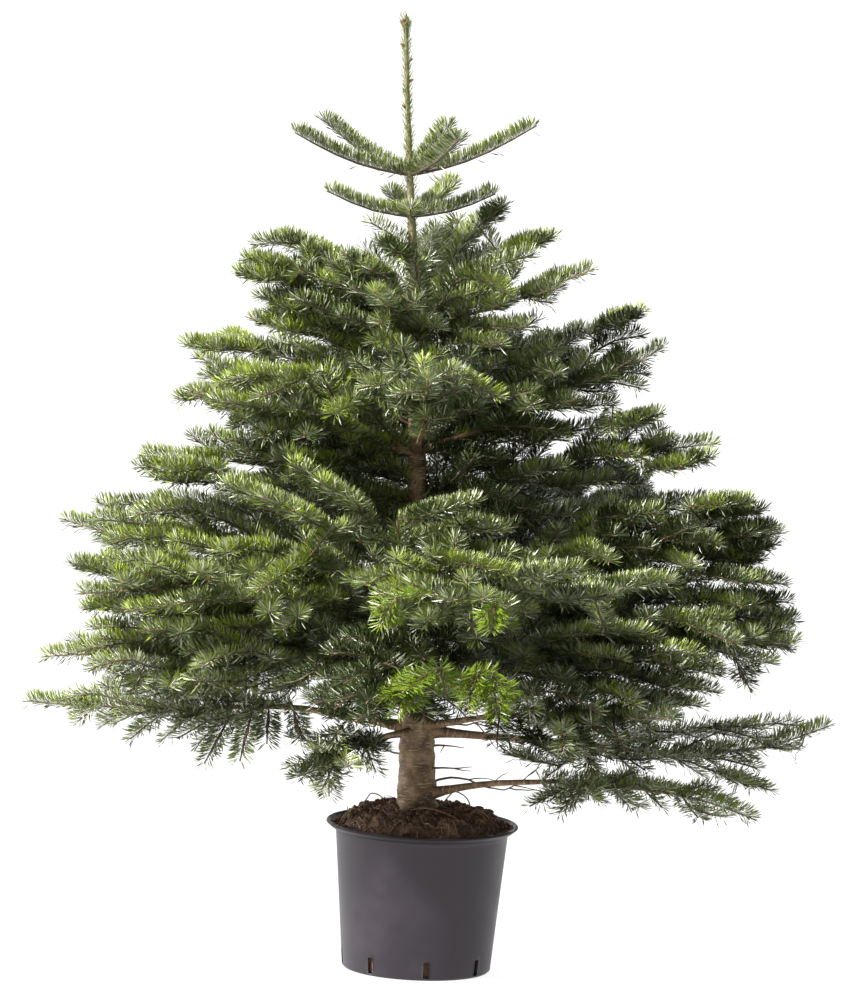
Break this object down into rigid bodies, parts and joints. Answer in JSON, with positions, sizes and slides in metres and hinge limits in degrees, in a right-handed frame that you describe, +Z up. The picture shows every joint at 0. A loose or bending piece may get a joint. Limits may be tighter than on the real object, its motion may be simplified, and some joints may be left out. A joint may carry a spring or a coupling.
{
  "type": "potted christmas tree",
  "caption": "Young fir christmas tree in a round nursery pot of dark plastic, with whorled boughs, flat fans of short needles and a bare leader.",
  "frame": {"origin": "centre of the pot's flat underside", "axes": "+Z up, -Y towards the front of the tree, +X to its right seen from the front"},
  "size_m": [1.2674, 1.0701, 1.495],
  "materials": {
    "pot_plastic": "dark grey satin moulded plastic, dusty at the rim",
    "soil": "dark brown peat with fine tan roots",
    "bark": "grey-brown smooth young bark with fine cross marks",
    "needles": "glossy mid to dark green needles, yellow-green on the youngest shoots"
  },
  "bodies": {
    "root": {"low_limb_1_bough": "bark", "low_limb_1_foliage": "needles", "low_limb_2_bough": "bark", "low_limb_2_foliage": "needles", "middle_shoot_1": "needles", "middle_shoot_2": "needles", "pot": "pot_plastic", "soil": "soil", "top_shoots": "needles", "trunk": "bark", "upper_shoots": "needles", "whorl_1_bough_1": "bark", "whorl_1_bough_2": "bark", "whorl_1_bough_3": "bark", "whorl_1_bough_4": "bark", "whorl_1_foliage_1": "needles", "whorl_1_foliage_2": "needles", "whorl_1_foliage_3": "needles", "whorl_1_foliage_4": "needles", "whorl_2_bough_1": "bark", "whorl_2_bough_2": "bark", "whorl_2_bough_3": "bark", "whorl_2_bough_4": "bark", "whorl_2_bough_5": "bark", "whorl_2_bough_6": "bark", "whorl_2_foliage_1": "needles", "whorl_2_foliage_2": "needles", "whorl_2_foliage_3": "needles", "whorl_2_foliage_4": "needles", "whorl_2_foliage_5": "needles", "whorl_2_foliage_6": "needles", "whorl_3_bough_1": "bark", "whorl_3_bough_2": "bark", "whorl_3_bough_3": "bark", "whorl_3_bough_4": "bark", "whorl_3_bough_5": "bark", "whorl_3_bough_6": "bark", "whorl_3_foliage_1": "needles", "whorl_3_foliage_2": "needles", "whorl_3_foliage_3": "needles", "whorl_3_foliage_4": "needles", "whorl_3_foliage_5": "needles", "whorl_3_foliage_6": "needles", "whorl_4_bough_1": "bark", "whorl_4_bough_2": "bark", "whorl_4_bough_3": "bark", "whorl_4_bough_4": "bark", "whorl_4_bough_5": "bark", "whorl_4_foliage_1": "needles", "whorl_4_foliage_2": "needles", "whorl_4_foliage_3": "needles", "whorl_4_foliage_4": "needles", "whorl_4_foliage_5": "needles", "whorl_5_bough_1": "bark", "whorl_5_bough_2": "bark", "whorl_5_bough_3": "bark", "whorl_5_foliage_1": "needles", "whorl_5_foliage_2": "needles", "whorl_5_foliage_3": "needles"}
  },
  "joints": []
}
